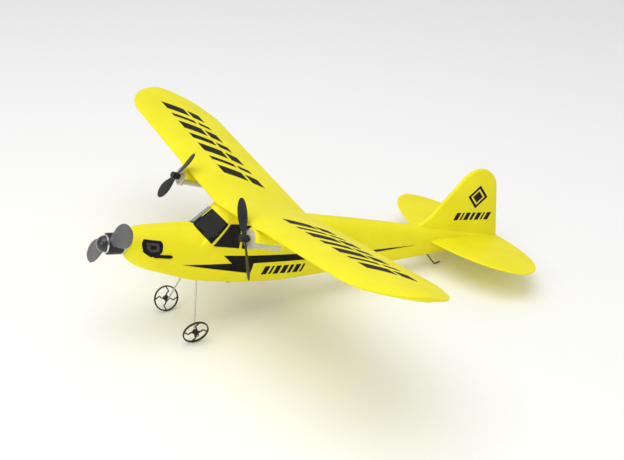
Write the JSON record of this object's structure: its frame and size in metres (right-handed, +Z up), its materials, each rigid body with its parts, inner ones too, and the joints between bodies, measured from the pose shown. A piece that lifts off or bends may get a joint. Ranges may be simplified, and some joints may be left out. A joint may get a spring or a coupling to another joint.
{
  "type": "foam toy aeroplane",
  "caption": "High-wing foam toy aeroplane with wing-mounted motor propellers, free-turning nose propeller, windowed cabin, spoked wheels on wire legs and a wire tail skid.",
  "frame": {"origin": "on the ground under the middle of the object's box, where the model stands on two wheels and the tail skid", "axes": "+X to the model's port wing tip, +Y towards the tail, +Z up; the airframe sits nose up about 10 degrees in this stance"},
  "size_m": [0.3396, 0.2942, 0.0972],
  "materials": {
    "foam": "matte foam",
    "black_film": "gloss",
    "dark_plastic": "satin",
    "grey_plastic": "satin",
    "clear_plastic": "translucent",
    "bright_plastic": "mirror",
    "steel": "drawn",
    "black_steel": "satin",
    "can_steel": "satin",
    "magnet": "dark",
    "copper": "enamelled",
    "board": "satin",
    "chip": "matte",
    "pouch": "foil",
    "wire_cover": "satin",
    "socket": "satin",
    "lamp": "clear",
    "white_plastic": "satin"
  },
  "bodies": {
    "airframe": {"wing": "foam", "tailplane": "foam", "tail_fin": "foam", "fuselage_port_half": "foam", "fuselage_starboard_half": "foam", "nose_plug": "white_plastic", "nose_pin": "steel", "gear_wire": "steel", "tail_skid": "black_steel", "gear_block": "white_plastic", "wheel_retainers": "dark_plastic", "belly_tray": "dark_plastic", "bay_frame": "dark_plastic", "tray_screws": "steel", "charge_jack": "socket", "switch_body": "socket", "receiver_board": "board", "board_chips": "chip", "status_lamp": "lamp", "battery": "pouch", "battery_leads": "wire_cover", "aerial_wire": "wire_cover", "port_motor_tube": "clear_plastic", "port_motor_can": "can_steel", "port_motor_magnet": "magnet", "port_motor_cap": "white_plastic", "port_motor_leads": "wire_cover", "port_windshield_film": "black_film", "port_window_films": "black_film", "starboard_motor_tube": "clear_plastic", "starboard_motor_can": "can_steel", "starboard_motor_magnet": "magnet", "starboard_motor_cap": "white_plastic", "starboard_motor_leads": "wire_cover", "starboard_windshield_film": "black_film", "starboard_window_films": "black_film"},
    "nose_propeller": {"nose_propeller": "grey_plastic", "nose_spinner_ring": "bright_plastic", "nose_spinner": "dark_plastic"},
    "port_rotor": {"port_propeller": "dark_plastic", "port_motor_shaft": "steel", "port_motor_coil": "copper"},
    "starboard_rotor": {"starboard_propeller": "dark_plastic", "starboard_motor_shaft": "steel", "starboard_motor_coil": "copper"},
    "port_wheel": {"port_wheel": "dark_plastic"},
    "starboard_wheel": {"starboard_wheel": "dark_plastic"},
    "switch_knob": {"switch_knob": "white_plastic"}
  },
  "joints": [
    {"name": "nose_propeller_spin", "type": "hinge", "parent": "airframe", "child": "nose_propeller", "pos_m": [0, -0.1398, 0.06628], "axis": [0, -0.9846, 0.1749], "continuous": true},
    {"name": "port_propeller_spin", "type": "hinge", "parent": "airframe", "child": "port_rotor", "pos_m": [0.0486, -0.07734, 0.07824], "axis": [0, -0.9451, 0.3267], "continuous": true},
    {"name": "starboard_propeller_spin", "type": "hinge", "parent": "airframe", "child": "starboard_rotor", "pos_m": [-0.0486, -0.07734, 0.07824], "axis": [0, -0.9451, 0.3267], "continuous": true},
    {"name": "port_wheel_spin", "type": "hinge", "parent": "airframe", "child": "port_wheel", "pos_m": [0.0226, -0.09634, 0.00813], "axis": [0.9613, -0.0482, -0.2714], "continuous": true},
    {"name": "starboard_wheel_spin", "type": "hinge", "parent": "airframe", "child": "starboard_wheel", "pos_m": [-0.0226, -0.09634, 0.00813], "axis": [-0.9613, -0.0482, -0.2714], "continuous": true},
    {"name": "power_switch_slide", "type": "slide", "parent": "airframe", "child": "switch_knob", "axis": [0, 0.9846, -0.1749], "range_m": [0, 0.002]}
  ]
}
